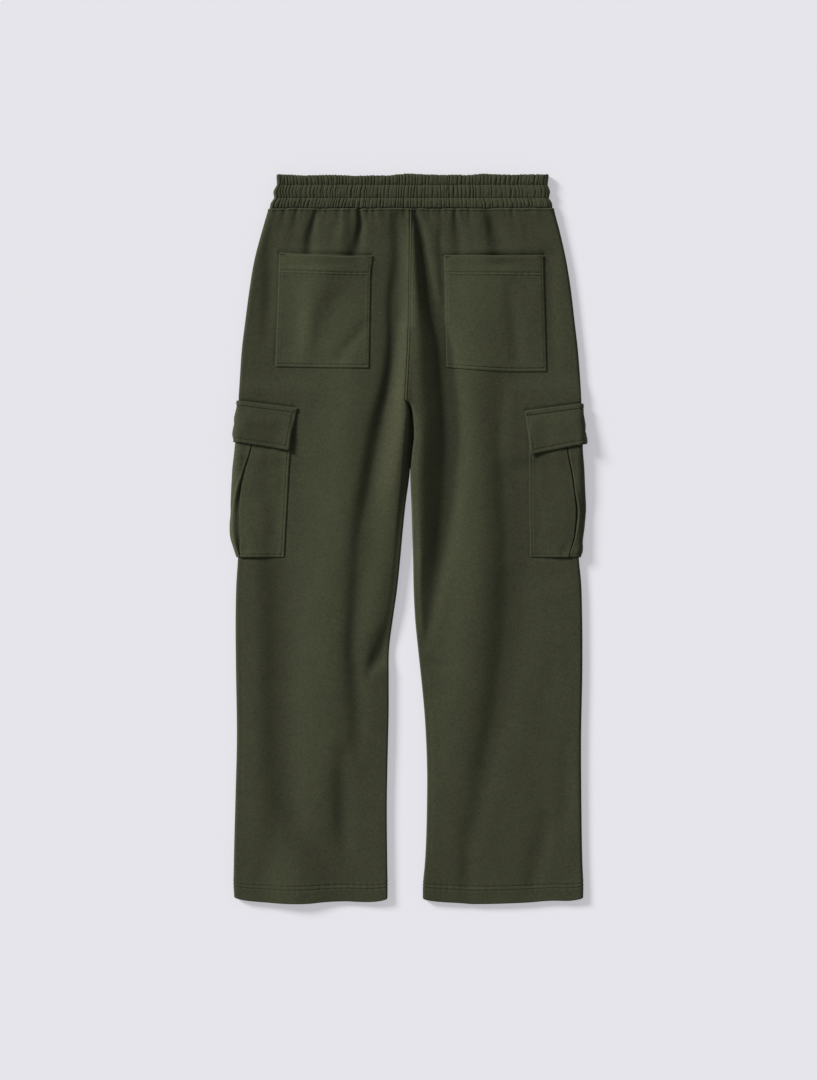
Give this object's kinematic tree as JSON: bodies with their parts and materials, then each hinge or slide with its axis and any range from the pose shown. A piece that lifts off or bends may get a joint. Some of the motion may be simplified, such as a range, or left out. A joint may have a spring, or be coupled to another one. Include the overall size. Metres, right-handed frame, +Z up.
{
  "type": "cargo pants",
  "caption": "Pull-on wide-leg fleece cargo pants laid flat, back up, with gathered elastic waist, seat pockets and pleated flap cargo pockets.",
  "frame": {"origin": "middle of the footprint on the surface the garment lies on", "axes": "+X to the wearer's right, +Y from the hems to the waist, +Z up from the surface, out of the back panels"},
  "size_m": [0.5136, 1.0496, 0.0262],
  "materials": {
    "fleece": "heavy brushed fleece jersey, dark olive, matt with a faint nap",
    "waistband_fleece": "the same fleece, doubled and gathered over elastic",
    "pocket_fleece": "the same fleece, edge stitched in matching thread"
  },
  "bodies": {
    "root": {"back_left": "fleece", "back_right": "fleece", "front_left": "fleece", "front_right": "fleece", "waistband": "waistband_fleece", "back_pocket_left": "pocket_fleece", "back_pocket_right": "pocket_fleece", "cargo_pocket_left": "pocket_fleece", "cargo_pocket_right": "pocket_fleece", "cargo_flap_left": "pocket_fleece", "cargo_flap_right": "pocket_fleece"}
  },
  "joints": []
}
